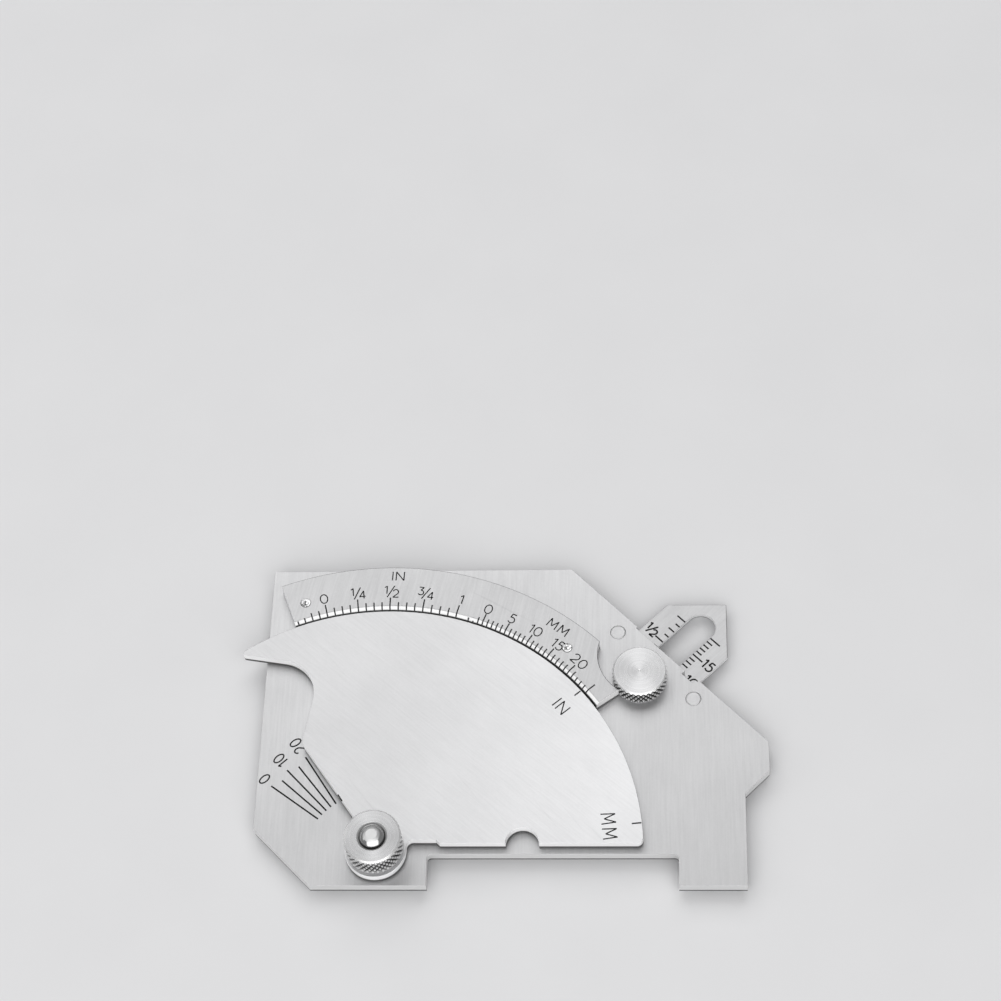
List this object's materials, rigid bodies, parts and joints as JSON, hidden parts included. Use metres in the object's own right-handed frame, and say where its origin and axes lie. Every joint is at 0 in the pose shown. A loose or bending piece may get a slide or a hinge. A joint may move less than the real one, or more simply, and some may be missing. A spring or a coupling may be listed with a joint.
{
  "type": "weld gauge",
  "caption": "Flat steel weld gauge: a plate with bridge feet carries a pivoting cam with a pointer, a curved scale and a sliding throat blade, each locked by a knurled thumb knob.",
  "frame": {"origin": "middle of the gauge's bounding box on the surface that its back rests on", "axes": "+X along the feet towards the throat slide, +Y from the feet to the top edge, +Z out of the graduated face"},
  "size_m": [0.1044, 0.0684, 0.0131],
  "materials": {
    "body_steel": "satin, fine grain",
    "scale_steel": "satin, fine grain",
    "cam_steel": "fine diagonal brushing",
    "slide_steel": "satin",
    "strap_steel": "satin",
    "knob_steel": "turned and knurled",
    "stud_steel": "turned, polished end",
    "washer_steel": "plain",
    "rivet_steel": "set flush"
  },
  "bodies": {
    "frame": {"body_plate": "body_steel", "arc_scale_plate": "scale_steel", "scale_rivet_left": "rivet_steel", "scale_rivet_right": "rivet_steel", "pivot_stud": "stud_steel", "slide_strap": "strap_steel", "strap_rivet_upper": "rivet_steel", "strap_rivet_lower": "rivet_steel"},
    "cam": {"cam_plate": "cam_steel"},
    "cam_nut": {"cam_thumb_nut": "knob_steel", "pivot_washer": "washer_steel"},
    "slide": {"throat_slide": "slide_steel"},
    "slide_screw": {"slide_thumbscrew": "knob_steel"}
  },
  "joints": [
    {"name": "cam_swing", "type": "hinge", "parent": "frame", "child": "cam", "pos_m": [-0.02331, -0.0275, 0.0053], "axis": [0, 0, 1], "range_deg": [-38, 66]},
    {"name": "slide_travel", "type": "slide", "parent": "frame", "child": "slide", "axis": [0.7071, 0.7071, 0], "range_m": [-0.01, 0.0107]},
    {"name": "cam_nut_turn", "type": "hinge", "parent": "frame", "child": "cam_nut", "pos_m": [-0.02331, -0.0275, 0.0095], "axis": [0, 0, 1], "continuous": true},
    {"name": "slide_screw_turn", "type": "hinge", "parent": "frame", "child": "slide_screw", "pos_m": [0.02723, 0.00924, 0.006], "axis": [0, 0, 1], "continuous": true}
  ]
}
